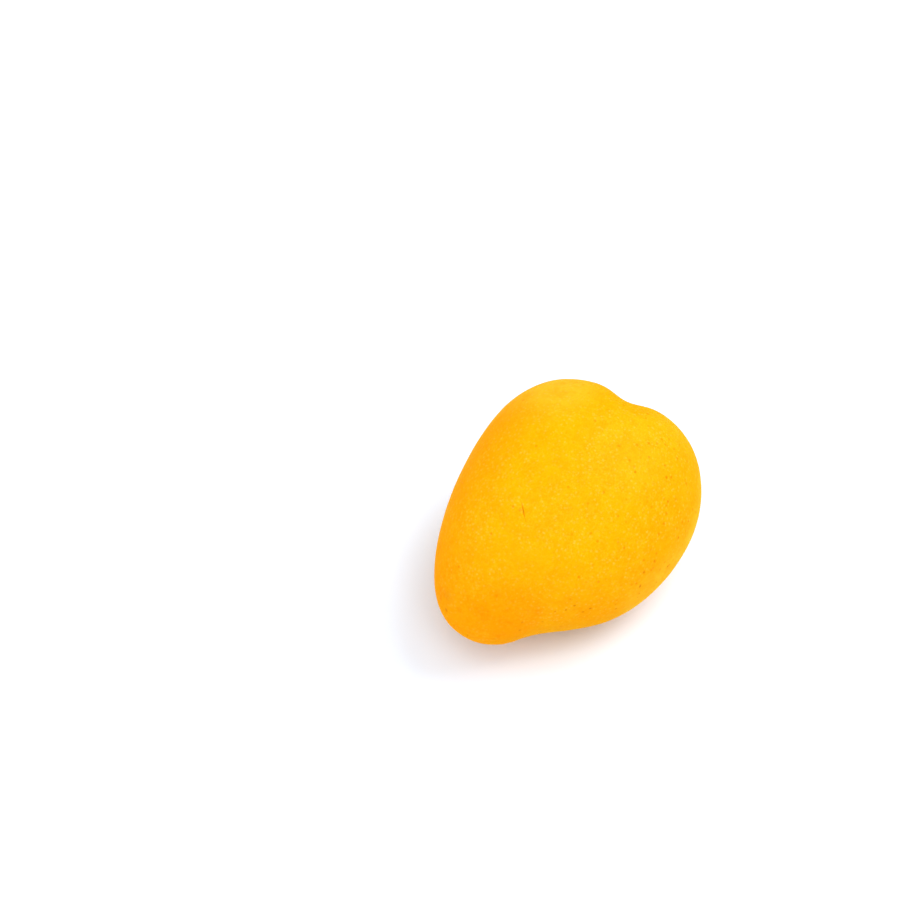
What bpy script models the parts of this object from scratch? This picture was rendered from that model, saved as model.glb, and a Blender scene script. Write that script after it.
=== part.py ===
"""A ripe heart-shaped mango lying on one cheek, with the dried stub of its stalk.

Two solids: the fruit, and the stub that stands in a small pit at the fruit's stem end.
Metres, +Z up. The fruit's core runs along +Y with the stem end towards +Y, the front
(the side with the sinus) faces +X, and the origin is under the middle of the whole
thing, on the surface that it lies on.

Each solid is shaped in the fruit's own frame, where the core is the Z axis with the
stem end up, +X is the front and Y runs from cheek to cheek. One empty lays both down.
"""

import math

import bmesh
import bpy
import numpy as np
from mathutils import Euler, Matrix, Vector

MM = 0.001

# Overall size of the fruit before its stem end is blunted and its back flattened
CORE_LENGTH = 118.5 * MM
BROAD_WIDTH = 88.5 * MM
CHEEK_WIDTH = 71.0 * MM

# Profile along the core
FULLNESS = 0.85  # power of the girth: under 1 fills out both ends
TAPER = 0.17  # share by which the stem half is wider and the apex half slimmer
END_SLIMMING = 0.21  # share taken off both ends, and a third of it added at the middle
APEX_SHIFT = -7.2 * MM  # the apex leans towards the back
STEM_SHIFT = 5.0 * MM  # the stem sits nearer the front
BACK_FLATTENING = 9.4 * MM  # the back runs nearly straight
FRONT_DROOP = 5.2 * MM  # the front's fullness moves from its shoulder to its belly

# Stem end
STEM_SLANT = 0.05
BLUNTING, BLUNT_REACH = 13.6 * MM, 27.0 * MM
GROOVE_DEPTH, GROOVE_WIDTH, GROOVE_REACH = 5.8 * MM, 7.3 * MM, 26.0 * MM
CAVITY_DEPTH, CAVITY_RADIUS = 2.5 * MM, 6.0 * MM
PUCKERS, PUCKER_HEIGHT = 7, 0.35 * MM  # soft folds of skin round the cavity

# Sinus: the hollow in the front, just above the apex
SINUS_DEPTH, SINUS_PLACE, SINUS_REACH = 7.8 * MM, -0.76, 0.20

# How the fruit lies: its centre of mass is over the middle of the flat spot
LYING_TILT = math.radians(12.15)  # stem end up
LYING_ROLL = math.radians(9.1)  # about the core
FLAT_DEPTH = 1.0 * MM  # how far the skin gives where it rests
RIM_MERGE = 1.2 * MM  # corners closer than this to the flat spot's rim are merged into it

# Pit for the stalk, in the floor of the cavity
PIT_RADIUS, PIT_DEPTH = 2.8 * MM, 1.0 * MM
GAP = 0.3 * MM

# Stalk stub, from its foot up: height above the foot and radius
STUB_PROFILE = (
    (0.0 * MM, 2.3 * MM),
    (1.5 * MM, 2.5 * MM),
    (2.5 * MM, 2.4 * MM),
    (3.5 * MM, 1.9 * MM),
    (4.7 * MM, 1.8 * MM),
    (5.8 * MM, 2.3 * MM),
    (6.7 * MM, 2.1 * MM),
    (7.4 * MM, 1.3 * MM),
)
STUB_LEAN = 1.2 * MM  # how far its top bends towards the front
STUB_LOBES, LOBE_SHARE = 3, 0.10
# Broken side twigs: height above the foot, direction round the stub, rise, length, radius
TWIGS = (
    (4.6 * MM, math.radians(205), math.radians(40), 4.4 * MM, 1.15 * MM),
    (3.9 * MM, math.radians(330), math.radians(25), 3.8 * MM, 0.95 * MM),
)
TWIG_FLARE = 1.15  # how much wider a twig is at its root

# Mesh fineness
SEGMENTS, RINGS = 64, 46
STEM_CROWDING = 0.45  # rings lie closer together at the stem end by this share
STUB_SIDES, TWIG_SIDES = 20, 10

# Linear colour, roughness
SKIN = ((0.86, 0.46, 0.02), 0.42)
BARK = ((0.07, 0.035, 0.015), 0.85)


def bell(distance, reach):
    """1 at no distance, falling smoothly to nearly 0 at twice the reach."""
    return math.exp(-((distance / reach) ** 2))


def ease(share):
    """Smooth rise from 0 at 0 to 1 at 1."""
    share = min(max(share, 0.0), 1.0)
    return share * share * (3.0 - 2.0 * share)


def crowded(direction):
    """The direction on the unit sphere moved a little towards the stem end."""
    angle = math.acos(max(-1.0, min(1.0, direction.z)))
    moved = angle - STEM_CROWDING * math.sin(angle)
    level = Vector((direction.x, direction.y))
    level = level.normalized() if level.length > 1e-6 else Vector((1.0, 0.0))
    level *= math.sin(moved)
    return Vector((level.x, level.y, math.cos(moved)))


def stem_end(x, y, z, near_stem):
    """Height of the skin with the stem end blunted, grooved, and sunk round the stalk."""
    off = x - STEM_SHIFT
    apart = math.hypot(off, y)
    z -= BLUNTING * near_stem * bell(apart, BLUNT_REACH)
    z -= GROOVE_DEPTH * near_stem * bell(off, GROOVE_WIDTH) * bell(y, GROOVE_REACH)
    z -= CAVITY_DEPTH * near_stem * bell(apart, CAVITY_RADIUS)
    ring = (apart / CAVITY_RADIUS) ** 2 * bell(apart, CAVITY_RADIUS)
    fold = math.cos(PUCKERS * math.atan2(y, off) + 0.8)
    return z + PUCKER_HEIGHT * near_stem * ring * fold


def skin_point(direction):
    """The point of the fruit's skin for a direction from the middle of the core."""
    along = direction.z
    girth = math.sqrt(max(1.0 - along * along, 1e-12))
    front, cheek = direction.x / girth, direction.y / girth
    swell = 1.0 + TAPER * along - END_SLIMMING * (along * along - 0.33)
    radius = girth**FULLNESS * swell
    x = BROAD_WIDTH / 2 * radius * front
    y = CHEEK_WIDTH / 2 * radius * cheek
    z = CORE_LENGTH / 2 * along
    apex_share, stem_share = ((1 - along) / 2) ** 2, ((1 + along) / 2) ** 2
    x += APEX_SHIFT * apex_share + STEM_SHIFT * stem_share
    x += BACK_FLATTENING * girth**3 * max(-front, 0.0) ** 2
    x -= FRONT_DROOP * girth * max(front, 0.0) ** 2 * along
    z += STEM_SLANT * stem_share * (x - STEM_SHIFT)
    z = stem_end(x, y, z, ease((along + 0.1) / 0.9))
    x -= SINUS_DEPTH * bell(along - SINUS_PLACE, SINUS_REACH) * max(front, 0.0) ** 1.5
    return Vector((x, y, z))


def lying_turn():
    """Turn that takes the fruit's own frame to the way it lies."""
    core_level = Matrix.Rotation(-math.pi / 2, 4, "X")
    roll = Matrix.Rotation(LYING_ROLL, 4, "Y")
    tilt = Matrix.Rotation(LYING_TILT, 4, "X")
    return tilt @ roll @ core_level


def material(name, colour, roughness):
    made = bpy.data.materials.new(name)
    made.use_nodes = True
    shader = made.node_tree.nodes["Principled BSDF"]
    shader.inputs["Base Color"].default_value = (*colour, 1.0)
    shader.inputs["Roughness"].default_value = roughness
    shader.inputs["Metallic"].default_value = 0.0
    return made


def add_object(name, bm, parent, finish=None):
    """An object made from the bmesh, shaded smooth, under its parent."""
    bmesh.ops.recalc_face_normals(bm, faces=bm.faces)
    mesh = bpy.data.meshes.new(name)
    bm.to_mesh(mesh)
    bm.free()
    mesh.shade_smooth()
    if finish:
        mesh.materials.append(finish)
    obj = bpy.data.objects.new(name, mesh)
    bpy.context.scene.collection.objects.link(obj)
    obj.parent = parent
    return obj


def join_or_cut(obj, other, operation):
    """A Boolean of obj with a hidden helper."""
    other.hide_render = True
    other.display_type = "WIRE"
    boolean = obj.modifiers.new(operation.lower() + "_" + other.name, "BOOLEAN")
    boolean.operation = operation
    boolean.object = other


def cut_flat_spot(bm, up):
    """Slices off the lowest part of the fruit, and closes it with one flat face."""
    lowest = min(vertex.co.dot(up) for vertex in bm.verts)
    bmesh.ops.bisect_plane(
        bm,
        geom=bm.verts[:] + bm.edges[:] + bm.faces[:],
        plane_co=up * (lowest + FLAT_DEPTH),
        plane_no=up,
        clear_inner=True,
    )
    rim = [vertex for vertex in bm.verts if vertex.is_boundary]
    bmesh.ops.remove_doubles(bm, verts=rim, dist=RIM_MERGE)
    rim = [vertex for vertex in bm.verts if vertex.is_boundary]
    near = bmesh.ops.find_doubles(bm, verts=bm.verts, keep_verts=rim, dist=RIM_MERGE)
    bmesh.ops.weld_verts(bm, targetmap=near["targetmap"])
    rim = [edge for edge in bm.edges if edge.is_boundary]
    bmesh.ops.holes_fill(bm, edges=rim, sides=len(rim))


def build_fruit(parent, up):
    bm = bmesh.new()
    bmesh.ops.create_uvsphere(bm, u_segments=SEGMENTS, v_segments=RINGS, radius=1.0)
    for vertex in bm.verts:
        vertex.co = skin_point(crowded(vertex.co))
    cut_flat_spot(bm, up)
    return add_object("fruit", bm, parent, material("mango_skin", *SKIN))


def build_pit_cutter(parent, foot):
    """A plain cylinder that leaves a pit of PIT_DEPTH in the cavity's floor."""
    reach = PIT_DEPTH + CAVITY_RADIUS
    bm = bmesh.new()
    bmesh.ops.create_cone(
        bm,
        cap_ends=True,
        segments=STUB_SIDES,
        radius1=PIT_RADIUS,
        radius2=PIT_RADIUS,
        depth=reach,
    )
    bmesh.ops.translate(bm, verts=bm.verts, vec=foot + Vector((0, 0, reach / 2)))
    return add_object("pit_cutter", bm, parent)


def build_stub(parent, foot):
    """The knobbly stub: a stack of rings, then lobed and bent to its profile."""
    heights, radii = zip(*STUB_PROFILE)
    bm = bmesh.new()
    bmesh.ops.create_circle(bm, cap_ends=True, segments=STUB_SIDES, radius=1.0)
    rim = bm.edges[:]
    for low, high in zip(heights, heights[1:]):
        made = bmesh.ops.extrude_edge_only(bm, edges=rim)["geom"]
        raised = [item for item in made if isinstance(item, bmesh.types.BMVert)]
        bmesh.ops.translate(bm, verts=raised, vec=(0, 0, high - low))
        rim = [item for item in made if isinstance(item, bmesh.types.BMEdge)]
    bmesh.ops.contextual_create(bm, geom=rim)
    for vertex in bm.verts:
        share = vertex.co.z / heights[-1]
        around = math.atan2(vertex.co.y, vertex.co.x)
        lobe = 1.0 + LOBE_SHARE * ease(share) * math.cos(STUB_LOBES * around + 1.0)
        radius = np.interp(vertex.co.z, heights, radii) * lobe
        vertex.co.x = radius * math.cos(around) + STUB_LEAN * share**2
        vertex.co.y = radius * math.sin(around)
    bmesh.ops.translate(bm, verts=bm.verts, vec=foot + Vector((0, 0, GAP)))
    return add_object("stem_stub", bm, parent, material("dry_stalk", *BARK))


def build_twig(name, parent, foot, twig):
    """One broken side twig, from the stub's middle outwards."""
    height, around, rise, length, radius = twig
    bm = bmesh.new()
    bmesh.ops.create_cone(
        bm,
        cap_ends=True,
        segments=TWIG_SIDES,
        radius1=radius * TWIG_FLARE,
        radius2=radius,
        depth=length,
    )
    bmesh.ops.translate(bm, verts=bm.verts, vec=(0, 0, length / 2))
    turn = Euler((0.0, math.pi / 2 - rise, around)).to_matrix()
    bmesh.ops.rotate(bm, verts=bm.verts, matrix=turn)
    bmesh.ops.translate(bm, verts=bm.verts, vec=foot + Vector((0, 0, GAP + height)))
    return add_object(name, bm, parent)


def lay_down(parent, turn, fruit):
    """Lays the parent down as the fruit lies, its flat spot at Z 0 and its box's middle over the origin."""
    laid = [turn @ vertex.co for vertex in fruit.data.vertices]
    low = Vector(min(point[axis] for point in laid) for axis in range(3))
    high = Vector(max(point[axis] for point in laid) for axis in range(3))
    parent.rotation_euler = turn.to_euler()
    parent.location = (-(low.x + high.x) / 2, -(low.y + high.y) / 2, -low.z)


def main():
    for obj in list(bpy.data.objects):
        bpy.data.objects.remove(obj)
    turn = lying_turn()
    up = turn.to_3x3().inverted() @ Vector((0.0, 0.0, 1.0))

    mango = bpy.data.objects.new("mango_frame", None)
    bpy.context.scene.collection.objects.link(mango)

    fruit = build_fruit(mango, up)
    foot = skin_point(Vector((0.0, 0.0, 1.0))) - Vector((0.0, 0.0, PIT_DEPTH))
    join_or_cut(fruit, build_pit_cutter(mango, foot), "DIFFERENCE")

    stub = build_stub(mango, foot)
    for number, twig in enumerate(TWIGS, start=1):
        helper = build_twig(f"twig_{number}", mango, foot, twig)
        join_or_cut(stub, helper, "UNION")

    lay_down(mango, turn, fruit)


if __name__ == "__main__":
    main()
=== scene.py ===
# %% [markdown]
# # A ripe mango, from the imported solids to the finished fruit
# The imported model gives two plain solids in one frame: the fruit, lying on one cheek, and the
# dried stub of its stalk. This lesson gives each of them a fine surface that keeps the solid's
# form and place, then paints, lights and frames them. Nothing here moves a solid.

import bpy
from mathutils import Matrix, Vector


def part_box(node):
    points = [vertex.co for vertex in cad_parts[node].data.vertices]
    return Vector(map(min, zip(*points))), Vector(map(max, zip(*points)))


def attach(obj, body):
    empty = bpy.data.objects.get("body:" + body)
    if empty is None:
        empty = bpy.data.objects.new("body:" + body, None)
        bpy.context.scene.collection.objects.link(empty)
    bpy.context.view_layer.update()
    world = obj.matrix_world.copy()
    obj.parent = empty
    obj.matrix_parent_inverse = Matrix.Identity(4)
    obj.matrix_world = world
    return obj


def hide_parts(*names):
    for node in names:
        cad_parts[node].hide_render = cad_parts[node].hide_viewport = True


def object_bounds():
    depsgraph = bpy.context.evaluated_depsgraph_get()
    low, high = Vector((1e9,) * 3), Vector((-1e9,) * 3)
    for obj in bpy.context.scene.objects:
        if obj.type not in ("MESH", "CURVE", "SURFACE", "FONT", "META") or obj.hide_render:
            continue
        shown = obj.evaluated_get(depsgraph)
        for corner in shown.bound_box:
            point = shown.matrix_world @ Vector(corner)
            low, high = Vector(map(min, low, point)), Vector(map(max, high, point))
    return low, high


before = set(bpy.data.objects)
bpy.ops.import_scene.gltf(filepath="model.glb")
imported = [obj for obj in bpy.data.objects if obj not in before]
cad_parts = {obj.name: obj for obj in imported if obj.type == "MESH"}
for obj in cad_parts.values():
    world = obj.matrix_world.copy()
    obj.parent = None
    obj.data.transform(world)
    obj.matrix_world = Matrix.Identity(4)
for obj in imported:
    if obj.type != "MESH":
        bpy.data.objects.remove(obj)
cad_low, cad_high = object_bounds()
cad_size_mm = [round(1000 * side, 1) for side in cad_high - cad_low]
print("solids:", sorted(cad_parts), "box in mm:", cad_size_mm)

# %% [markdown]
# ## Tools
# bmesh makes and shapes the meshes, numpy moves many points at once by one formula, and
# mathutils gives vectors, turns and a smooth noise. Sizes are in metres, so a millimetre is
# named once and every size below reads as a real one.

# %% Imports and the millimetre
import math

import bmesh
import bpy
import numpy as np
from mathutils import Euler, Matrix, Vector, noise

MM = 0.001

# %% [markdown]
# ## The fruit's form
# A mango is not an egg: its stem end is broad, blunt and notched, its back runs nearly
# straight, its belly hangs low, and just above the apex the front is hollowed by the sinus.
# It could be sculpted, but a formula is easier to read and to change: it starts from a ball,
# stretches it along three axes, and adds one term for each of those features. These are the
# same named sizes as the solid's own, so the fine skin lies on it everywhere.

# %% The fruit's sizes
CORE_LENGTH = 118.5 * MM
BROAD_WIDTH = 88.5 * MM
CHEEK_WIDTH = 71.0 * MM
FULLNESS, TAPER, END_SLIMMING = 0.85, 0.17, 0.21
APEX_SHIFT, STEM_SHIFT = -7.2 * MM, 5.0 * MM
BACK_FLATTENING, FRONT_DROOP = 9.4 * MM, 5.2 * MM
STEM_SLANT = 0.05
BLUNTING, BLUNT_REACH = 13.6 * MM, 27.0 * MM
GROOVE_DEPTH, GROOVE_WIDTH, GROOVE_REACH = 5.8 * MM, 7.3 * MM, 26.0 * MM
CAVITY_DEPTH, CAVITY_RADIUS = 2.5 * MM, 6.0 * MM
PUCKERS, PUCKER_HEIGHT = 7, 0.35 * MM
SINUS_DEPTH, SINUS_PLACE, SINUS_REACH = 7.8 * MM, -0.76, 0.20
print("core, breadth and cheeks, mm:", [s / MM for s in (CORE_LENGTH, BROAD_WIDTH, CHEEK_WIDTH)])

# %% [markdown]
# ## Soft steps and bells
# Every feature fades into the skin round it. Two curves do all of the fading: an S-shaped
# step from 0 to 1, and a bell that is 1 at its middle and nearly 0 at twice its reach.

# %% Step and bell
def ease(share):
    share = np.clip(share, 0.0, 1.0)
    return share * share * (3.0 - 2.0 * share)


def bell(distance, reach):
    return np.exp(-((distance / reach) ** 2))


print("bell at once and twice its reach:", round(float(bell(1, 1)), 2), round(float(bell(2, 1)), 2))


# %% [markdown]
# ## From a ball to the mango
# The function takes points of a unit ball and returns points of the skin, in the fruit's own
# frame: Z runs along the core with the stem up, X towards the front, Y from cheek to cheek.
# The stem end is lowered, grooved from cheek to cheek, and sunk round the stalk, where the
# skin gathers in seven soft folds.

# %% The form
def stem_end(x, y, z, near_stem):
    off = x - STEM_SHIFT
    apart = np.hypot(off, y)
    z = z - BLUNTING * near_stem * bell(apart, BLUNT_REACH)
    z = z - GROOVE_DEPTH * near_stem * bell(off, GROOVE_WIDTH) * bell(y, GROOVE_REACH)
    z = z - CAVITY_DEPTH * near_stem * bell(apart, CAVITY_RADIUS)
    ring = (apart / CAVITY_RADIUS) ** 2 * bell(apart, CAVITY_RADIUS)
    fold = np.cos(PUCKERS * np.arctan2(y, off) + 0.8)
    return z + PUCKER_HEIGHT * near_stem * ring * fold


def mango_form(ball):
    along = ball[:, 2]
    girth = np.sqrt(np.clip(1.0 - along * along, 1e-12, 1.0))
    front, cheek = ball[:, 0] / girth, ball[:, 1] / girth
    swell = 1.0 + TAPER * along - END_SLIMMING * (along * along - 0.33)
    radius = girth**FULLNESS * swell
    x = BROAD_WIDTH / 2 * radius * front
    y = CHEEK_WIDTH / 2 * radius * cheek
    z = CORE_LENGTH / 2 * along
    apex_share, stem_share = ((1 - along) / 2) ** 2, ((1 + along) / 2) ** 2
    x = x + APEX_SHIFT * apex_share + STEM_SHIFT * stem_share
    x = x + BACK_FLATTENING * girth**3 * np.clip(-front, 0, 1) ** 2
    x = x - FRONT_DROOP * girth * np.clip(front, 0, 1) ** 2 * along
    z = z + STEM_SLANT * stem_share * (x - STEM_SHIFT)
    z = stem_end(x, y, z, ease((along + 0.1) / 0.9))
    x = x - SINUS_DEPTH * bell(along - SINUS_PLACE, SINUS_REACH) * np.clip(front, 0, 1) ** 1.5
    return np.stack([x, y, z], axis=1)


stem_foot = Vector(mango_form(np.array([[0.0, 0.0, 1.0]]))[0])
apex_tip = Vector(mango_form(np.array([[0.0, 0.0, -1.0]]))[0])
print("stem foot and apex, mm:", [round(v / MM, 1) for v in (*stem_foot, *apex_tip)])

# %% [markdown]
# ## An even ball
# A sphere made of rings and segments has two poles where the faces crowd into slivers, and
# the light shows them. A cube whose faces are divided into squares and blown up to a ball has
# none. Dividing by equal angles, with a tangent, keeps the squares near one size. The ball's
# points are then drawn towards the stem end, where the finest shapes are.

# %% Cube ball
CELLS = 122  # squares along each edge of the cube
STEM_CROWDING = 0.45


def mesh_points(mesh):
    flat = np.empty(len(mesh.vertices) * 3, np.float32)
    mesh.vertices.foreach_get("co", flat)
    return flat.reshape(-1, 3).astype(float)


def set_mesh_points(mesh, points):
    mesh.vertices.foreach_set("co", points.astype(np.float32).ravel())
    mesh.update()


bm = bmesh.new()
bmesh.ops.create_cube(bm, size=2.0)
bmesh.ops.subdivide_edges(bm, edges=bm.edges[:], cuts=CELLS - 1, use_grid_fill=True)
skin_mesh = bpy.data.meshes.new("mango_skin")
bm.to_mesh(skin_mesh)
bm.free()

ball = np.tan(mesh_points(skin_mesh) * math.pi / 4)
ball /= np.linalg.norm(ball, axis=1, keepdims=True)
angle = np.arccos(np.clip(ball[:, 2], -1, 1))
moved = angle - STEM_CROWDING * np.sin(angle)
level = ball[:, :2] / np.maximum(np.sin(angle), 1e-9)[:, None]
ball = np.column_stack([level * np.sin(moved)[:, None], np.cos(moved)])
print("faces of the ball:", len(skin_mesh.polygons))

# %% [markdown]
# ## Natural unevenness
# No fruit is as even as its formula. Slow swellings a few centimetres wide catch the light
# unevenly, and shallow ripples a few millimetres wide break up the gloss. Both are layers of
# smooth noise along the skin's normals, and together they stay under half a millimetre. Each
# layer's shift moves it to another part of the noise, so that no two layers are alike.

# %% Swellings and ripples
SWELLING, SWELLING_WIDTH, SWELLING_SHIFT = 0.30 * MM, 26 * MM, (3.1, 0.4, 7.7)
RIPPLE, RIPPLE_WIDTH, RIPPLE_SHIFT = 0.05 * MM, 5.5 * MM, (9.2, 5.5, 1.3)


def layer_of_noise(points, width, shift):
    return np.array([noise.noise(Vector(point) / width + Vector(shift)) for point in points])


def push_along_normals(mesh, amounts):
    normals = np.empty(len(mesh.vertices) * 3, np.float32)
    mesh.vertex_normals.foreach_get("vector", normals)
    set_mesh_points(mesh, mesh_points(mesh) + normals.reshape(-1, 3) * amounts[:, None])


skin_points = mango_form(ball)
set_mesh_points(skin_mesh, skin_points)
unevenness = SWELLING * layer_of_noise(skin_points, SWELLING_WIDTH, SWELLING_SHIFT)
unevenness += RIPPLE * layer_of_noise(skin_points, RIPPLE_WIDTH, RIPPLE_SHIFT)
push_along_normals(skin_mesh, unevenness)
print("unevenness, mm:", round(unevenness.min() / MM, 2), "to", round(unevenness.max() / MM, 2))

# %% [markdown]
# ## The stalk's seat and the stylar scar
# Where the stalk goes in, the skin dips under it and stands up round it in a low lip. At the
# other end, a little to the front of the apex, a pinhead dimple marks where the flower's
# style was. Both are bells added to the form, and no cut is needed.

# %% Seat and scar
SEAT_RADIUS, SEAT_DEPTH = 2.5 * MM, 0.9 * MM
LIP_RADIUS, LIP_WIDTH, LIP_HEIGHT = 3.3 * MM, 0.7 * MM, 0.35 * MM
SCAR_PLACE = Vector(mango_form(np.array([[0.40, 0.19, -0.895]]))[0])
SCAR_RADIUS, SCAR_DEPTH = 1.1 * MM, 0.45 * MM
SCAR_LIP_RADIUS, SCAR_LIP_WIDTH, SCAR_LIP_HEIGHT = 2.0 * MM, 0.7 * MM, 0.12 * MM

skin_points = mesh_points(skin_mesh)
from_stalk = np.hypot(skin_points[:, 0] - stem_foot.x, skin_points[:, 1] - stem_foot.y)
upper_half = skin_points[:, 2] > 0
seat = -SEAT_DEPTH * (1 - ease((from_stalk - 0.8 * SEAT_RADIUS) / (0.5 * SEAT_RADIUS)))
lip = LIP_HEIGHT * bell(from_stalk - LIP_RADIUS, LIP_WIDTH)
skin_points[:, 2] += np.where(upper_half, seat + lip, 0.0)
set_mesh_points(skin_mesh, skin_points)

from_scar = np.linalg.norm(skin_points - np.array(SCAR_PLACE), axis=1)
dimple = -SCAR_DEPTH * bell(from_scar, SCAR_RADIUS)
scar_lip = SCAR_LIP_HEIGHT * bell(from_scar - SCAR_LIP_RADIUS, SCAR_LIP_WIDTH)
push_along_normals(skin_mesh, dimple + scar_lip)
print("scar dimple at, mm:", [round(v / MM, 1) for v in SCAR_PLACE])

# %% [markdown]
# ## Laying it down
# The fruit lies on a cheek with its stem end a little up. It is turned about its core, tilted,
# and set down so that the middle of its box is over the origin, as the solid is. Where it
# rests, the skin gives by a millimetre: a soft floor for the points keeps that spot's edge
# round, which a straight cut would not.

# %% Turn, place and rest
LYING_TILT = math.radians(12.15)
LYING_ROLL = math.radians(9.1)
FLAT_DEPTH = 1.0 * MM
FLAT_SOFTNESS = 0.3 * MM

core_level = Matrix.Rotation(-math.pi / 2, 3, "X")
lying = Matrix.Rotation(LYING_TILT, 3, "X") @ Matrix.Rotation(LYING_ROLL, 3, "Y") @ core_level

laid = mesh_points(skin_mesh) @ np.array(lying).T
fruit_low, fruit_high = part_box("fruit")
cad_middle = (fruit_low + fruit_high) / 2
middle = (laid.min(axis=0) + laid.max(axis=0)) / 2
drop = laid[:, 2].min() + FLAT_DEPTH
place = Vector((cad_middle.x - middle[0], cad_middle.y - middle[1], -drop))
laid += np.array(place)
laid[:, 2] = (laid[:, 2] + np.sqrt(laid[:, 2] ** 2 + FLAT_SOFTNESS**2)) / 2
set_mesh_points(skin_mesh, laid)
print("middle of the core stands at, mm:", [round(v / MM, 2) for v in place])

# %% [markdown]
# ## The skin as a piece
# The finished mesh becomes one object at the origin. It rides on the only body and stands for
# the fruit's solid.

# %% Skin object
def add_piece(name, mesh, node):
    mesh.shade_smooth()
    piece = bpy.data.objects.new(name, mesh)
    bpy.context.scene.collection.objects.link(piece)
    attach(piece, "root")
    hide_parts(node)
    size = [round(side / MM, 1) for side in piece.dimensions]
    print(name, "size in mm:", size, "faces:", len(mesh.polygons))
    return piece


skin = add_piece("mango_skin", skin_mesh, "fruit")

# %% [markdown]
# ## The stub of the stalk
# A picked mango keeps a knobbly end of its stalk: a round foot, a waist, a swollen knot where
# side twigs broke off, and a torn top. It has the solid's own heights and radii, with many
# more rings and a smooth profile. Trunk and twigs are made apart and closed, so that a later
# step can melt them into one body.

# %% Stub sizes
PIT_DEPTH, GAP = 1.0 * MM, 0.3 * MM
STUB_HEIGHTS = np.array([0.0, 1.5, 2.5, 3.5, 4.7, 5.8, 6.7, 7.4]) * MM
STUB_RADII = np.array([2.3, 2.5, 2.4, 1.9, 1.8, 2.3, 2.1, 1.3]) * MM
STUB_LEAN = 1.2 * MM
STUB_LOBES, LOBE_SHARE = 3, 0.10
TWIG_FLARE = 1.15
TORN_TOP_RADIUS, TORN_TOP_SLANT = 1.6 * MM, 0.15
# height above the foot, direction round the stub, rise, length, radius
TWIGS = (
    (4.6 * MM, math.radians(205), math.radians(40), 4.4 * MM, 1.15 * MM),
    (3.9 * MM, math.radians(330), math.radians(25), 3.8 * MM, 0.95 * MM),
)
STUB_SIDES, STUB_RINGS, TWIG_SIDES = 48, 40, 24
print("stub height, mm:", round(STUB_HEIGHTS[-1] / MM, 1), "side twigs:", len(TWIGS))


# %% [markdown]
# ## The trunk
# The trunk grows as the stalk did, from its foot upwards: a circle's edge is extruded ring by
# ring. Then each ring takes its width from the profile, a soft three-lobed swell from the
# angle, and its lean from the height. A cylinder with loop cuts would do as well, but extruding
# leaves no faces inside.

# %% Trunk
def rounded_profile(height):
    """The solid's radius at a height, with its corners rounded by averaging nearby heights."""
    reach = np.linspace(-0.45, 0.45, 7) * MM
    near = np.clip(height + reach, 0, STUB_HEIGHTS[-1])
    return np.interp(near, STUB_HEIGHTS, STUB_RADII).mean()


def add_trunk(bm):
    made = bmesh.ops.create_circle(bm, cap_ends=True, segments=STUB_SIDES, radius=1.0)
    verts = made["verts"]
    rim = list({edge for vertex in verts for edge in vertex.link_edges})
    rise = STUB_HEIGHTS[-1] / STUB_RINGS
    trunk = list(verts)
    for _ in range(STUB_RINGS):
        grown = bmesh.ops.extrude_edge_only(bm, edges=rim)["geom"]
        raised = [item for item in grown if isinstance(item, bmesh.types.BMVert)]
        rim = [item for item in grown if isinstance(item, bmesh.types.BMEdge)]
        bmesh.ops.translate(bm, verts=raised, vec=(0, 0, rise))
        trunk += raised
    bmesh.ops.contextual_create(bm, geom=rim)
    for vertex in trunk:
        share = vertex.co.z / STUB_HEIGHTS[-1]
        around = math.atan2(vertex.co.y, vertex.co.x)
        lobe = 1.0 + LOBE_SHARE * ease(share) * math.cos(STUB_LOBES * around + 1.0)
        radius = rounded_profile(vertex.co.z) * lobe
        vertex.co.x = radius * math.cos(around) + STUB_LEAN * share**2
        vertex.co.y = radius * math.sin(around)


# %% [markdown]
# ## The side twigs
# Two twigs broke off at the knot. Each is a capped cone, a little wider at its root, that is
# made upright, tilted, turned round the stub and lifted to its height. Its root is deep in the
# trunk, where the two will melt together. Its tip, direction and radius are kept, because the
# torn wood goes there.

# %% Side twigs
def add_twig(bm, height, around, rise, length, radius):
    made = bmesh.ops.create_cone(
        bm,
        cap_ends=True,
        segments=TWIG_SIDES,
        radius1=radius * TWIG_FLARE,
        radius2=radius,
        depth=length,
    )
    bmesh.ops.translate(bm, verts=made["verts"], vec=(0, 0, length / 2))
    turn = Euler((0.0, math.pi / 2 - rise, around)).to_matrix()
    bmesh.ops.rotate(bm, verts=made["verts"], matrix=turn)
    bmesh.ops.translate(bm, verts=made["verts"], vec=(0, 0, height))
    tip = Vector((0, 0, height)) + turn @ Vector((0, 0, length))
    return tip, turn @ Vector((0, 0, 1)), radius


bm = bmesh.new()
add_trunk(bm)
trunk_top = Vector((STUB_LEAN, 0, STUB_HEIGHTS[-1]))
torn_top = (trunk_top, Vector((TORN_TOP_SLANT, 0, 1)).normalized(), TORN_TOP_RADIUS)
broken_ends = [torn_top] + [add_twig(bm, *twig) for twig in TWIGS]
bmesh.ops.recalc_face_normals(bm, faces=bm.faces[:])
rough_mesh = bpy.data.meshes.new("stub_rough")
bm.to_mesh(rough_mesh)
bm.free()
print("broken ends, mm:", [[round(v / MM, 1) for v in end[0]] for end in broken_ends])

# %% [markdown]
# ## Melting the stub into one body
# A voxel remesh turns overlapping closed shapes into one even mesh, and a little smoothing
# rounds the inner corners as wood grows round a fork. A Boolean would join them too, but
# with hard creases and uneven faces that take relief badly.

# %% Remesh and smooth
STUB_VOXEL = 0.13 * MM


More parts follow.
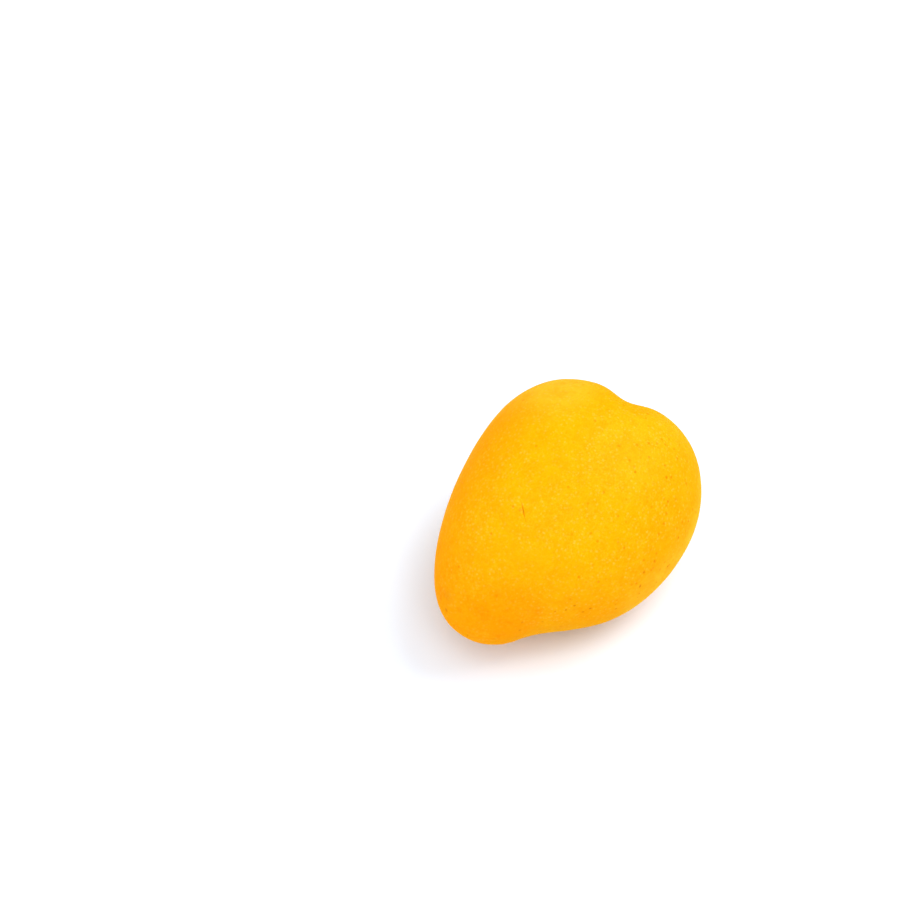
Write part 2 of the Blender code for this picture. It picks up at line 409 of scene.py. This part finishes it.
def remeshed(mesh, voxel, rounds):
    carrier = bpy.data.objects.new("carrier", mesh)
    bpy.context.scene.collection.objects.link(carrier)
    melt = carrier.modifiers.new("melt", "REMESH")
    melt.mode = "VOXEL"
    melt.voxel_size = voxel
    soften = carrier.modifiers.new("soften", "SMOOTH")
    soften.factor = 0.5
    soften.iterations = rounds
    evaluated = carrier.evaluated_get(bpy.context.evaluated_depsgraph_get())
    made = bpy.data.meshes.new_from_object(evaluated)
    bpy.data.objects.remove(carrier)
    return made


stub_mesh = remeshed(rough_mesh, STUB_VOXEL, 4)
bpy.data.meshes.remove(rough_mesh)
stub_mesh.name = "stem_stub_bark"
print("stub faces:", len(stub_mesh.polygons))

# %% [markdown]
# ## Bark and torn ends
# Dry bark shrinks into furrows that run along the stalk, crossed by fine cracks. Torn ends
# are splintered: each fibre broke at its own height. Both are noise along the normals. An
# attribute on the points remembers how torn the place is, so that the paint can follow it.

# %% Furrows and splinters
FURROW_HEIGHT, KNOB_HEIGHT, CRACK_HEIGHT = 0.22 * MM, 0.16 * MM, 0.05 * MM
KNOB_WIDTH, CRACK_WIDTH = 1.3 * MM, 0.45 * MM
FURROWS_ROUND, FURROW_LENGTH, FURROW_WIDTH = 2.6, 3 * MM, 0.9
SPLINTER_HEIGHT, SPLINTER_WIDTH, SPLINTER_STRETCH = 0.35 * MM, 0.4 * MM, 0.35

stub_points = mesh_points(stub_mesh)
torn = np.zeros(len(stub_points))
for centre, direction, radius in broken_ends:
    away = stub_points - np.array(centre)
    height = away @ np.array(direction)
    side = np.linalg.norm(away - np.outer(height, np.array(direction)), axis=1)
    torn = np.maximum(torn, ease((height + 0.7 * MM) / (0.5 * MM)) * (side < 1.25 * radius))

around = np.arctan2(stub_points[:, 1], stub_points[:, 0])
round_stub = FURROWS_ROUND * np.column_stack([np.cos(around), np.sin(around)])
furrow_places = np.column_stack([round_stub, stub_points[:, 2] / FURROW_LENGTH])
splinter_places = stub_points * np.array([1, 1, SPLINTER_STRETCH])
bark = FURROW_HEIGHT * layer_of_noise(furrow_places, FURROW_WIDTH, (1.0, 2.0, 3.0))
bark += KNOB_HEIGHT * layer_of_noise(stub_points, KNOB_WIDTH, (4.0, 4.0, 1.0))
bark += CRACK_HEIGHT * layer_of_noise(stub_points, CRACK_WIDTH, (8.0, 1.0, 6.0))
splinters = SPLINTER_HEIGHT * layer_of_noise(splinter_places, SPLINTER_WIDTH, (2.0, 9.0, 5.0))
push_along_normals(stub_mesh, bark * (1 - torn) + splinters * torn)
torn_layer = stub_mesh.attributes.new("torn", "FLOAT", "POINT")
torn_layer.data.foreach_set("value", torn.astype(np.float32))
print("torn share of the stub:", round(float(torn.mean()), 2))

# %% [markdown]
# ## The stub in its seat
# The stub stands in the pit with a hair's gap under it, as its solid does, and is laid down
# with the fruit by the same turn and place. Then it is a piece of its own: a stalk can be
# picked off, so it is never one body with the skin.

# %% Stub object
stub_points = mesh_points(stub_mesh) + np.array(stem_foot) + np.array([0, 0, GAP - PIT_DEPTH])
set_mesh_points(stub_mesh, stub_points @ np.array(lying).T + np.array(place))
stub = add_piece("stem_stub_bark", stub_mesh, "stem_stub")

# %% [markdown]
# ## Painting with nodes
# A procedural material is a chain of nodes. One helper keeps the chains short: it adds a
# node, sets what it is given, and links a socket wherever a value is another node's output.
# The others name the few kinds of node that the paint is made of.

# %% Node helpers
def add_node(tree, kind, inputs=None, **settings):
    node = tree.nodes.new(kind)
    for name, value in settings.items():
        setattr(node, name, value)
    for key, value in (inputs or {}).items():
        if isinstance(value, bpy.types.NodeSocket):
            tree.links.new(value, node.inputs[key])
        else:
            node.inputs[key].default_value = value
    return node


def maths(tree, operation, first, second=0.0, clamp=False):
    made = add_node(tree, "ShaderNodeMath", {0: first, 1: second}, operation=operation)
    made.use_clamp = clamp
    return made.outputs[0]


def product(tree, first, *others):
    for other in others:
        first = maths(tree, "MULTIPLY", first, other)
    return first


def vector_maths(tree, operation, inputs, output="Vector"):
    return add_node(tree, "ShaderNodeVectorMath", inputs, operation=operation).outputs[output]


def remap(tree, value, low, high, to_low=0.0, to_high=1.0):
    inputs = {"Value": value, 1: low, 2: high, 3: to_low, 4: to_high}
    return add_node(tree, "ShaderNodeMapRange", inputs, interpolation_type="SMOOTHSTEP").outputs[0]


def mixed(tree, share, under, over):
    inputs = {0: share, 6: under, 7: over}
    return add_node(tree, "ShaderNodeMix", inputs, data_type="RGBA").outputs[2]


def noise_of(tree, where, width, detail=2.0, roughness=0.5):
    inputs = {"Vector": where, "Scale": 1 / width, "Detail": detail, "Roughness": roughness}
    return add_node(tree, "ShaderNodeTexNoise", inputs).outputs[0]


def new_material(name):
    made = bpy.data.materials.new(name)
    made.use_nodes = True
    return made, made.node_tree, made.node_tree.nodes["Principled BSDF"]


def set_sockets(shader, values):
    for name, value in values.items():
        shader.inputs[name].default_value = value
    print("set by hand:", values)


# %% [markdown]
# ## Where the paint is
# Object coordinates are in the row's frame. A Mapping node undoes the lying turn, so that the
# paint can speak of the stem end, the apex, the front and the cheeks, whichever way the
# fruit lies. Its lengths are still real metres.

# %% The skin's own frame
skin_paint, tree, skin_shader = new_material("ripe_mango_skin")
object_place = add_node(tree, "ShaderNodeTexCoord").outputs["Object"]
mapping = add_node(tree, "ShaderNodeMapping", {"Vector": object_place}, vector_type="TEXTURE")
mapping.inputs["Location"].default_value = place
mapping.inputs["Rotation"].default_value = lying.to_euler()
on_fruit = mapping.outputs[0]
axes = add_node(tree, "ShaderNodeSeparateXYZ", {0: on_fruit}).outputs
print("the lying turn, degrees:", [round(math.degrees(turn), 1) for turn in lying.to_euler()])


def distance_from(point):
    return vector_maths(tree, "DISTANCE", {0: on_fruit, 1: point}, "Value")


# %% [markdown]
# ## The ground colour, with painted shade
# Ripe skin is a deep golden yellow that drifts to orange towards the apex, the belly and the
# back, round the stalk, and in a patch over the apex. The orange towards the apex, the belly
# and the back, and the patch over the apex, is partly the skin's own colour and partly painted
# shade, where those sides lie darker. It could be painted by hand on an unwrapped skin, but a
# few slopes along the fruit's own axes say the same in real sizes. They are added up, with a
# wide, soft noise that breaks the drift so that no border shows.

# %% Gold to orange
GOLD = (0.86, 0.372, 0.0008, 1)
ORANGE = (0.86, 0.290, 0.0005, 1)
WIDE_WIDTH, WIDE_SHARE = 38 * MM, 0.5
# The slopes towards the apex, the belly and the back, and the glow over the apex, are partly
# painted shade.
APEX_ORANGE_AND_SHADE = Vector((4, -13, -48)) * MM
# axis of the fruit's own frame, where the orange starts and is full in millimetres, its strength
SLOPES = (("Z", -25, -62, 0.55), ("X", 14, 40, 0.28), ("X", -12, -36, 0.42))
# middle, how far from it the orange starts and is full in millimetres, its strength
GLOWS = ((stem_foot, 36, 15, 0.45), (APEX_ORANGE_AND_SHADE, 17, 5, 0.40))

wide_noise = noise_of(tree, on_fruit, WIDE_WIDTH)
drift_and_painted_shade = maths(tree, "MULTIPLY", wide_noise, WIDE_SHARE)
for axis, start, full, strength in SLOPES:
    orange = remap(tree, axes[axis], start * MM, full * MM, 0.0, strength)
    drift_and_painted_shade = maths(tree, "ADD", drift_and_painted_shade, orange)
for centre, start, full, strength in GLOWS:
    orange = remap(tree, distance_from(centre), start * MM, full * MM, 0.0, strength)
    drift_and_painted_shade = maths(tree, "ADD", drift_and_painted_shade, orange)
colour = mixed(tree, remap(tree, drift_and_painted_shade, 0.15, 1.0), GOLD, ORANGE)
print("slopes and glows of orange:", len(SLOPES) + len(GLOWS))

# %% [markdown]
# ## Painted highlights
# The shoulder over the back, two smaller places on the cheek and the ridge of the belly are
# painted a paler gold: a painted highlight where the light catches them. Three are soft balls
# round a point, broken by the wide noise. The ridge is a long one, so it is the product of three
# slopes: one on each side of it, and one from inside.

# %% Painted highlight in pale gold
# The pale gold is a painted highlight on the shoulder, the cheek and the belly ridge.
HIGHLIGHT_GOLD = (0.86, 0.450, 0.0180, 1)
HIGHLIGHT_START, HIGHLIGHT_FULL = 24 * MM, 6 * MM
# place in the fruit's own frame in millimetres, and strength
HIGHLIGHT_PLACES = (((-22, -28, 31), 1.0), ((27, -16, 45), 0.4), ((17, -35, 17), 0.3))

highlight_patches = remap(tree, wide_noise, 0.62, 0.35, 0.5, 0.95)
for highlight_place, strength in HIGHLIGHT_PLACES:
    off_place = distance_from(Vector(highlight_place) * MM)
    nearness = remap(tree, off_place, HIGHLIGHT_START, HIGHLIGHT_FULL, 0.0, strength)
    colour = mixed(tree, product(tree, nearness, highlight_patches), colour, HIGHLIGHT_GOLD)
# The belly ridge is a painted highlight along the fruit's front edge.
belly_ridge_highlight = product(
    tree,
    remap(tree, axes["Y"], -17 * MM, -6 * MM, 0.0, 0.75),
    remap(tree, axes["Y"], 16 * MM, 5 * MM),
    remap(tree, axes["X"], 33 * MM, 43 * MM),
)
colour = mixed(tree, belly_ridge_highlight, colour, HIGHLIGHT_GOLD)
print("pale places:", len(HIGHLIGHT_PLACES), "and the ridge")

# %% [markdown]
# ## Mottling
# A colour that only drifts still looks like paint. Clouds half a centimetre wide, deep orange
# flecks where the skin is orange anyway, and a grain as small as the dots give the unevenness
# of flesh under a thin skin. Each is one noise, of which a remap keeps the upper part.

# %% Clouds, flecks and grain
DEEP_ORANGE = (0.86, 0.225, 0.0003, 1)
CLOUD_WIDTH, FLECK_WIDTH, GRAIN_WIDTH = 6.5 * MM, 5.0 * MM, 2.2 * MM
clouds = noise_of(tree, on_fruit, CLOUD_WIDTH, 4.0, 0.6)
colour = mixed(tree, remap(tree, clouds, 0.38, 0.66, 0.0, 0.45), colour, ORANGE)
flecks = noise_of(tree, on_fruit, FLECK_WIDTH, 4.0, 0.65)
flecks = remap(tree, flecks, 0.50, 0.66, 0.0, 0.55)
flecks = product(tree, flecks, remap(tree, drift_and_painted_shade, 0.45, 0.95))
colour = mixed(tree, flecks, colour, DEEP_ORANGE)
grain_colour = noise_of(tree, on_fruit, GRAIN_WIDTH, 3.0, 0.6)
colour = mixed(tree, remap(tree, grain_colour, 0.42, 0.68, 0.0, 0.18), colour, ORANGE)
print("clouds, flecks and grain, mm:", [w / MM for w in (CLOUD_WIDTH, FLECK_WIDTH, GRAIN_WIDTH)])

# %% [markdown]
# ## Lenticels and their net
# The skin breathes through lenticels, pale dots under a millimetre wide, which lie in a net
# of fine pale lines. Cells of 3-D Voronoi noise give the dots at the right spacing on any
# slope: only the cells whose middle is near the skin leave a dot, so dots differ in size as
# the real ones do. The place is warped a little first, so that some stretch or run together.
# The net is where a smooth noise passes its middle value: those places form winding lines.

# %% Warped place
WARP, WARP_WIDTH = 0.9 * MM, 1.6 * MM
warp_inputs = {"Vector": on_fruit, "Scale": 1 / WARP_WIDTH, "Detail": 1.0}
warp_colour = add_node(tree, "ShaderNodeTexNoise", warp_inputs).outputs["Color"]
centred = vector_maths(tree, "SUBTRACT", {0: warp_colour, 1: (0.5, 0.5, 0.5)})
warp = vector_maths(tree, "SCALE", {0: centred, "Scale": WARP})
warped = vector_maths(tree, "ADD", {0: on_fruit, 1: warp})


# %% Dots and winding lines
DOT_CORE = 0.1  # share of a dot's radius that has its full strength


def dots(where, spacing, radius):
    """1 in the middle of each dot and 0 outside, and the cell's random number."""
    cells = add_node(tree, "ShaderNodeTexVoronoi", {"Vector": where, "Scale": 1 / spacing})
    edge = radius / spacing
    mask = remap(tree, cells.outputs["Distance"], edge, edge * DOT_CORE)
    number = add_node(tree, "ShaderNodeSeparateColor", {0: cells.outputs["Color"]}).outputs["Red"]
    return mask, number


def winding_lines(width, breadth):
    """1 along the lines where a smooth noise passes its middle value."""
    off_middle = maths(tree, "SUBTRACT", noise_of(tree, on_fruit, width, 1.0), 0.5)
    return remap(tree, maths(tree, "ABSOLUTE", off_middle), breadth, 0.0)


# %% [markdown]
# ## Where the dots are strongest
# The dots come in patches: strong in places, faint where the skin is deep orange, and strongest
# in one small place by the scratch. Big dots differ among themselves by the cell's own random
# number. Fine dots and the net have one strength each. All three follow the same patches.

# %% Pale dots and net
LENTICEL = (0.87, 0.460, 0.046, 1)
NET_GOLD = (0.87, 0.450, 0.010, 1)
BIG_SPACING, BIG_RADIUS = 1.35 * MM, 0.68 * MM
FINE_SPACING, FINE_RADIUS, FINE_STRENGTH = 0.85 * MM, 0.36 * MM, 0.25
NET_WIDTH, NET_BREADTH, NET_STRENGTH = 2.1 * MM, 0.075, 0.30
PATCH_WIDTH = 14 * MM
STRONG_PLACE = Vector((-10.4, -33.2, -19.4)) * MM

big_dots, big_number = dots(warped, BIG_SPACING, BIG_RADIUS)
fine_dots, _ = dots(on_fruit, FINE_SPACING, FINE_RADIUS)
net = winding_lines(NET_WIDTH, NET_BREADTH)
dot_patches = remap(tree, noise_of(tree, on_fruit, PATCH_WIDTH), 0.35, 0.62, 0.55, 1.0)
by_scratch = remap(tree, distance_from(STRONG_PLACE), 3.0 * MM, 0.8 * MM, 0.0, 0.9)
dot_patches = product(tree, dot_patches, remap(tree, drift_and_painted_shade, 0.3, 1.0, 1.0, 0.55))
dot_patches = maths(tree, "ADD", dot_patches, by_scratch)
big_strength = remap(tree, big_number, 0.0, 1.0, 0.12, 0.62)
big_share = product(tree, big_dots, big_strength, dot_patches)
fine_share = product(tree, fine_dots, FINE_STRENGTH, dot_patches)
net_share = product(tree, net, NET_STRENGTH, dot_patches)
for share, tint in ((fine_share, NET_GOLD), (net_share, NET_GOLD), (big_share, LENTICEL)):
    colour = mixed(tree, maths(tree, "MINIMUM", share, 0.9), colour, tint)
print("nodes in the skin so far:", len(tree.nodes))

# %% [markdown]
# ## Age spots
# Here and there a lenticel has turned brown. They come from a third, wide set of cells, of
# which only some are kept, by the cell's own random number. Most are on the front, where the
# belly rubs.

# %% Brown dots
BROWN_DOT = (0.66, 0.20, 0.001, 1)
SPOT_SPACING, SPOT_RADIUS, SPOT_STRENGTH = 2.8 * MM, 0.85 * MM, 0.65
spot_mask, spot_number = dots(on_fruit, SPOT_SPACING, SPOT_RADIUS)
towards_front = remap(tree, axes["X"], 0.0, 38 * MM, 0.04, 0.60)
kept = maths(tree, "LESS_THAN", spot_number, towards_front)
spot_share = product(tree, spot_mask, kept, SPOT_STRENGTH)
colour = mixed(tree, spot_share, colour, BROWN_DOT)
print("brown dots are kept from 1 cell in 25 behind to 3 in 5 in front")

# %% [markdown]
# ## Spots that catch the eye
# The largest and darkest spots tell this fruit from another, so they are put where they are,
# each with its own radius. A ball round a point cuts the skin in a disc, on any slope.

# %% Spots put one by one
DARK_DOT = (0.58, 0.175, 0.001, 1)
DARK_STRENGTH = 0.8
# place in the fruit's own frame in millimetres, and radius
SPOTS = (
    ((38.6, -15.0, -13.9), 1.00),
    ((31.0, -28.9, 16.7), 0.90),
    ((43.7, -14.3, 4.3), 0.90),
    ((39.4, -10.3, -17.5), 0.90),
    ((40.1, -15.9, -8.6), 0.80),
    ((-17.7, -4.4, -56.0), 1.25),
    ((27.4, -9.8, -33.2), 0.80),
    ((35.2, -25.8, 9.9), 0.80),
    ((44.6, -7.8, -4.8), 0.80),
    ((44.2, -13.9, 11.9), 0.70),
    ((22.3, -12.5, -35.9), 0.75),
    ((20.2, -10.8, -38.2), 0.65),
    ((39.1, -10.9, 33.2), 0.80),
    ((20.9, -34.6, 10.6), 0.70),
    ((28.7, -29.9, 20.2), 0.65),
)
for spot, radius in SPOTS:
    off_spot = distance_from(Vector(spot) * MM)
    share = remap(tree, off_spot, radius * MM, DOT_CORE * radius * MM, 0.0, DARK_STRENGTH)
    colour = mixed(tree, share, colour, DARK_DOT)
print("spots put by hand:", len(SPOTS))

# %% [markdown]
# ## An olive patch
# Low on the back, near the apex, the skin is a little olive. It is a faint patch with a
# ragged edge: distance from its middle, and a noise added to it.

# %% Olive patch
# A faint olive tint, low on the back near the apex, with a ragged edge.
OLIVE_TINT = (0.50, 0.26, 0.006, 1)
OLIVE_PLACE = Vector((-18.5, -8.5, -52.5)) * MM
RAGGED_BY = 3 * MM
ragged = maths(tree, "MULTIPLY", noise_of(tree, on_fruit, 2.2 * MM, 3.0), RAGGED_BY)
from_olive_place = maths(tree, "ADD", distance_from(OLIVE_PLACE), ragged)
colour = mixed(tree, remap(tree, from_olive_place, 6.0 * MM, 2.0 * MM, 0.0, 0.30), colour, OLIVE_TINT)
print("stain's place, mm:", [round(v / MM, 1) for v in OLIVE_PLACE])

# %% [markdown]
# ## A healed scratch
# One thin scratch crosses the upper cheek, brown at its middle and fading to orange, beside
# the place where the pale dots are strongest. It is drawn as a spindle: how far along the line
# a point is sets how wide and dark it is, and how far to the side, seen square to the skin,
# whether the point is inside. The depth is left out, because the skin curves away under a
# straight line.

# %% Scratch
SCRATCH_TOP = Vector((-9.1, -33.5, -18.4)) * MM
SCRATCH_FOOT = Vector((-4.1, -31.7, -24.4)) * MM
SCRATCH_HALF_WIDTH, SCRATCH_EDGE = 0.34 * MM, 0.22 * MM
SCRATCH_DARKEST = 0.38  # as a share of the way from its top to its foot
SCRATCH_TINT, SCRATCH_FADE = (0.52, 0.18, 0.001, 1), (0.72, 0.225, 0.001, 1)

scratch_line = SCRATCH_FOOT - SCRATCH_TOP
outward = Vector((-0.09, -0.93, -0.35)).normalized()
sideways = scratch_line.cross(outward).normalized()
from_top = vector_maths(tree, "SUBTRACT", {0: on_fruit, 1: SCRATCH_TOP})


def along(direction):
    return vector_maths(tree, "DOT_PRODUCT", {0: from_top, 1: direction}, "Value")


run = along(scratch_line / scratch_line.length_squared)
aside = maths(tree, "ABSOLUTE", along(sideways))
swelling_in = remap(tree, run, -0.15, 0.30)
fading_out = remap(tree, run, 1.1, 0.30)
spindle = maths(tree, "POWER", product(tree, swelling_in, fading_out), 0.6)
half_width = product(tree, spindle, SCRATCH_HALF_WIDTH)
inside = maths(tree, "SUBTRACT", half_width, aside)
inside = maths(tree, "DIVIDE", inside, SCRATCH_EDGE, clamp=True)
near = remap(tree, distance_from((SCRATCH_TOP + SCRATCH_FOOT) / 2), 7 * MM, 5 * MM)
scratch = product(tree, inside, near)
off_darkest = maths(tree, "ABSOLUTE", maths(tree, "SUBTRACT", run, SCRATCH_DARKEST))
scratch_colour = mixed(tree, remap(tree, off_darkest, 0.05, 0.30), SCRATCH_TINT, SCRATCH_FADE)
colour = mixed(tree, scratch, colour, scratch_colour)
print("scratch length, mm:", round(scratch_line.length / MM, 1))

# %% [markdown]
# ## Stem end and scar
# Round the stalk the skin keeps a trace of green-brown, darkest down in the fold, and the
# stylar scar at the other end is a brown point. Distance from each place is all that they
# need, with the same ragged noise as the olive patch's, so that neither is a perfect disc.

# %% Stem and scar tints
STEM_TINT = (0.44, 0.20, 0.008, 1)
SCAR_TINT = (0.16, 0.055, 0.012, 1)
from_stem = maths(tree, "ADD", distance_from(stem_foot), ragged)
colour = mixed(tree, remap(tree, from_stem, 13 * MM, 3.4 * MM, 0.0, 0.42), colour, STEM_TINT)
colour = mixed(tree, remap(tree, from_stem, 5.0 * MM, 3.6 * MM, 0.0, 0.8), colour, SCAR_TINT)
from_point = maths(tree, "ADD", distance_from(SCAR_PLACE), product(tree, ragged, 0.3))
colour = mixed(tree, remap(tree, from_point, 1.9 * MM, 1.0 * MM, 0.0, 0.85), colour, SCAR_TINT)
print("nodes in the skin's colour:", len(tree.nodes))

# %% [markdown]
# ## Finish
# The skin is waxy but not polished, over flesh that lets a little light in. The wax is a thin,
# rough coat, and a yellow sheen lifts the colour where the skin turns away. The shader's own
# reflection is next to nothing: however low it is set, it whitens the edges, which on this
# fruit stay as yellow as the rest. Its roughness is uneven in patches, as handled wax is. Fine
# relief goes to the bump: the lenticels stand up by a hair, the scratch is sunk, and a fine
# grain keeps the gloss from looking like plastic.

# %% Skin shader
gloss_noise = noise_of(tree, on_fruit, 9 * MM, 3.0, 0.6)
roughness = remap(tree, gloss_noise, 0.3, 0.7, 0.42, 0.56)
grain = noise_of(tree, on_fruit, 0.8 * MM)
relief = maths(tree, "ADD", product(tree, grain, 0.35), product(tree, big_dots, 0.5))
relief = maths(tree, "SUBTRACT", relief, product(tree, scratch, 0.5))
bump = add_node(tree, "ShaderNodeBump", {"Height": relief, "Strength": 0.6, "Distance": 0.08 * MM})
tree.links.new(colour, skin_shader.inputs["Base Color"])
tree.links.new(roughness, skin_shader.inputs["Roughness"])
tree.links.new(bump.outputs[0], skin_shader.inputs["Normal"])
SKIN_FINISH = {
    "Specular IOR Level": 0.0004,
    "Coat Weight": 0.02,
    "Coat Roughness": 0.42,
    "Sheen Weight": 0.2,
    "Sheen Roughness": 0.24,
    "Sheen Tint": (1.0, 0.95, 0.12, 1),
    "Subsurface Weight": 0.08,
    "Subsurface Radius": (1.0, 0.45, 0.08),
    "Subsurface Scale": 2.0 * MM,
}
set_sockets(skin_shader, SKIN_FINISH)
skin_mesh.materials.append(skin_paint)

# %% [markdown]
# ## Bark paint
# The dried stalk is nearly black-brown in its furrows and a warmer brown on its ridges, and
# the torn ends show paler dry wood. The ridges come from the same kind of noise as the
# furrows, and the torn ends from the attribute.

# %% Bark shader
bark_paint, tree, bark_shader = new_material("dry_stalk_bark")
bark_place = add_node(tree, "ShaderNodeTexCoord").outputs["Object"]
DARK_BARK = (0.018, 0.008, 0.004, 1)
WARM_BARK = (0.115, 0.052, 0.021, 1)
DRY_WOOD = (0.27, 0.160, 0.070, 1)
blotches = noise_of(tree, bark_place, 1.6 * MM, 4.0, 0.65)
bark_colour = mixed(tree, remap(tree, blotches, 0.36, 0.66), DARK_BARK, WARM_BARK)
torn_value = add_node(tree, "ShaderNodeAttribute", attribute_name="torn").outputs["Fac"]
fibres = noise_of(tree, bark_place, 0.35 * MM, 3.0, 0.7)
torn_share = product(tree, torn_value, remap(tree, fibres, 0.3, 0.6, 0.35, 0.95))
bark_colour = mixed(tree, torn_share, bark_colour, DRY_WOOD)
bump_inputs = {"Height": fibres, "Strength": 0.7, "Distance": 0.08 * MM}
bark_bump = add_node(tree, "ShaderNodeBump", bump_inputs)
tree.links.new(bark_colour, bark_shader.inputs["Base Color"])
tree.links.new(remap(tree, blotches, 0.3, 0.7, 0.72, 0.92), bark_shader.inputs["Roughness"])
tree.links.new(bark_bump.outputs[0], bark_shader.inputs["Normal"])
set_sockets(bark_shader, {"Specular IOR Level": 0.25})
stub_mesh.materials.clear()
stub_mesh.materials.append(bark_paint)

# %% [markdown]
# ## A pale floor
# The picture has a bright white ground and no hard shadow. The fruit throws its own orange on
# the floor, so the floor is painted a little cool near it, by the distance from the fruit, and
# the shadow comes out nearly grey. Further away it is a plain white.

# %% Floor
COOL_WHITE = (0.80, 0.88, 0.97, 1)
PLAIN_WHITE = (0.93, 0.93, 0.93, 1)
FLOOR_REACH = 3.0  # metres from its middle to each side
COOL_REACH, PLAIN_REACH = 0.10, 0.50
bm = bmesh.new()
bmesh.ops.create_grid(bm, x_segments=1, y_segments=1, size=FLOOR_REACH)
floor_mesh = bpy.data.meshes.new("floor")
bm.to_mesh(floor_mesh)
bm.free()
floor = bpy.data.objects.new("floor", floor_mesh)
bpy.context.scene.collection.objects.link(floor)
floor_paint, tree, floor_shader = new_material("pale_floor")
floor_place = add_node(tree, "ShaderNodeTexCoord").outputs["Object"]
from_fruit = vector_maths(tree, "LENGTH", {0: floor_place}, "Value")
far_share = remap(tree, from_fruit, COOL_REACH, PLAIN_REACH)
floor_colour = mixed(tree, far_share, COOL_WHITE, PLAIN_WHITE)
tree.links.new(floor_colour, floor_shader.inputs["Base Color"])
set_sockets(floor_shader, {"Roughness": 0.9, "Specular IOR Level": 0.1})
floor_mesh.materials.append(floor_paint)

# %% [markdown]
# ## The sky and the view
# An even white sky fills every shadow, as a light tent does. The standard view keeps the
# yellow as saturated as it is painted, where a filmic one would grey it.

# %% Sky
SKY_STRENGTH = 0.68
world = bpy.data.worlds.new("sky")
bpy.context.scene.world = world
world.use_nodes = True
sky = world.node_tree.nodes["Background"]
set_sockets(sky, {"Color": (1, 1, 1, 1), "Strength": SKY_STRENGTH})
bpy.context.scene.view_settings.view_transform = "Standard"

# %% [markdown]
# ## The camera
# The fruit is seen from in front of its apex and well above: turned 28.2 degrees round it and
# raised 50 degrees. An 85 mm lens at arm's length gives the picture's gentle perspective. The
# fruit is off the middle of the frame, so the camera is set by where the middle of the core
# stands from it: so much to the right, so much down, so far ahead.

# %% Camera
AZIMUTH, ELEVATION = math.radians(28.2), math.radians(50)
RIGHT_OF_AXIS, BELOW_AXIS, AHEAD = 40.1 * MM, 21.7 * MM, 775.5 * MM
LENS, FILM_WIDTH = 85, 36  # in millimetres, as on a real camera

back = Vector((
    math.sin(AZIMUTH) * math.cos(ELEVATION),
    -math.cos(AZIMUTH) * math.cos(ELEVATION),
    math.sin(ELEVATION),
))
facing = back.to_track_quat("Z", "Y")
right, up = facing @ Vector((1, 0, 0)), facing @ Vector((0, 1, 0))
camera_data = bpy.data.cameras.new("camera")
camera_data.lens, camera_data.sensor_width = LENS, FILM_WIDTH
camera = bpy.data.objects.new("camera", camera_data)
bpy.context.scene.collection.objects.link(camera)
camera.rotation_euler = facing.to_euler()
camera.location = place - right * RIGHT_OF_AXIS + up * BELOW_AXIS + back * AHEAD
bpy.context.scene.camera = camera
print("camera at, mm:", [round(v / MM, 1) for v in camera.location])


# %% [markdown]
# ## Lamps
# The light comes from above, with its weight to the right, and has no hard edge, so three
# large squares are enough. Each looks at the fruit from a direction given in the camera's own
# terms: to its right, up, and back towards it.

# %% Lamps
LAMP_DISTANCE, LAMP_SIDE = 1.5, 1.1
# to the right, up, back, and watts
LAMPS = {
    "right_lamp": (0.75, 0.85, 0.65, 14.8),
    "left_lamp": (-1.0, 0.1, 0.45, 5.5),
    "front_lamp": (0.0, 0.2, 1.0, 10.0),
}


def add_lamp(name, to_right, to_up, to_back, watts):
    data = bpy.data.lights.new(name, "AREA")
    data.shape = "SQUARE"
    data.size = LAMP_SIDE
    data.energy = watts
    lamp = bpy.data.objects.new(name, data)
    bpy.context.scene.collection.objects.link(lamp)
    direction = (right * to_right + up * to_up + back * to_back).normalized()
    lamp.location = place + direction * LAMP_DISTANCE
    lamp.rotation_euler = direction.to_track_quat("Z", "Y").to_euler()
    print(name, "at, m:", [round(v, 2) for v in lamp.location])


for lamp_name, lamp_values in LAMPS.items():
    add_lamp(lamp_name, *lamp_values)
